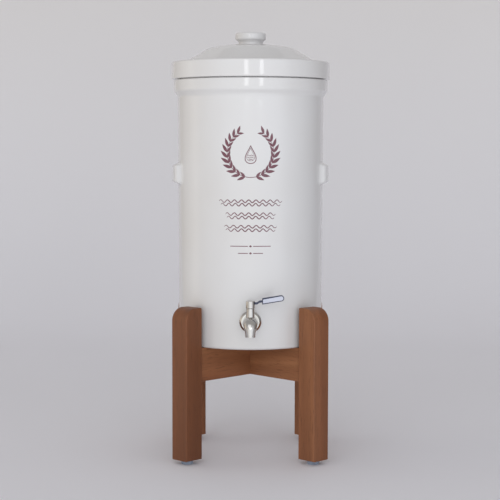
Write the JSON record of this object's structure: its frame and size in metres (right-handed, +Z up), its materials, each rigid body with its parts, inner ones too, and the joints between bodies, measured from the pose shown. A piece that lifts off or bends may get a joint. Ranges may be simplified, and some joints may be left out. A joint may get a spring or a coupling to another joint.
{
  "type": "gravity water filter with tap",
  "caption": "Tall glazed ceramic water filter with a domed lid, an upper chamber with filter candles, a quarter-turn lever tap and a crossed hardwood stand.",
  "frame": {"origin": "middle of the object's outline on the floor, between the lid's back and the spout's front", "axes": "+Z up along the vessel, -Y out along the tap towards the user, +X to the user's right"},
  "size_m": [0.249, 0.2793, 0.6657],
  "materials": {
    "white_glaze": "glossy white glaze",
    "candle_ceramic": "unglazed porous white",
    "oiled_wood": "oiled reddish-brown hardwood",
    "dowel_wood": "plain beech",
    "glide_plastic": "satin blue-grey",
    "plated_steel": "bright plated",
    "polished_steel": "polished stainless steel",
    "seal_rubber": "matt translucent white",
    "seat_plastic": "smooth white",
    "mount_plastic": "moulded white",
    "grip_plastic": "dark blue moulding",
    "face_plastic": "pale bare plate"
  },
  "bodies": {
    "stand": {"leg_front_left": "oiled_wood", "leg_front_right": "oiled_wood", "leg_back_right": "oiled_wood", "leg_back_left": "oiled_wood", "glide_front_left": "glide_plastic", "glide_front_right": "glide_plastic", "glide_back_right": "glide_plastic", "glide_back_left": "glide_plastic", "rail_lower": "oiled_wood", "rail_upper": "oiled_wood", "glide_nails": "plated_steel", "leg_dowels": "dowel_wood"},
    "vessel": {"filter_body": "white_glaze", "outer_seal": "seal_rubber", "inner_seal": "seal_rubber", "tap_collar": "polished_steel", "back_washer": "polished_steel", "back_nut": "polished_steel", "tap_inlet": "polished_steel", "tap_body": "polished_steel", "seat_rear": "seat_plastic", "seat_front": "seat_plastic", "stem_packing": "seat_plastic", "gland_nut": "polished_steel"},
    "chamber": {"upper_chamber": "white_glaze", "candle_seal_left": "seal_rubber", "candle_mount_left": "mount_plastic", "candle_shell_left": "candle_ceramic", "wing_nut_left": "mount_plastic", "candle_seal_right": "seal_rubber", "candle_mount_right": "mount_plastic", "candle_shell_right": "candle_ceramic", "wing_nut_right": "mount_plastic"},
    "lid": {"lid": "white_glaze"},
    "lever": {"lever_hub": "polished_steel", "lever_arm": "polished_steel", "lever_grip": "grip_plastic", "grip_faces": "face_plastic", "valve_stem": "polished_steel", "valve_ball": "polished_steel", "hub_screw": "polished_steel"}
  },
  "joints": [
    {"name": "vessel_lift", "type": "slide", "parent": "stand", "child": "vessel", "axis": [0, 0, 1], "range_m": [0, 0.09]},
    {"name": "chamber_lift", "type": "slide", "parent": "vessel", "child": "chamber", "axis": [0, 0, 1], "range_m": [0, 0.26]},
    {"name": "lid_lift", "type": "slide", "parent": "chamber", "child": "lid", "axis": [0, 0, 1], "range_m": [0, 0.12]},
    {"name": "tap_lever", "type": "hinge", "parent": "vessel", "child": "lever", "pos_m": [0, -0.11726, 0.2221], "axis": [0, 0, -1], "range_deg": [0, 90]}
  ]
}
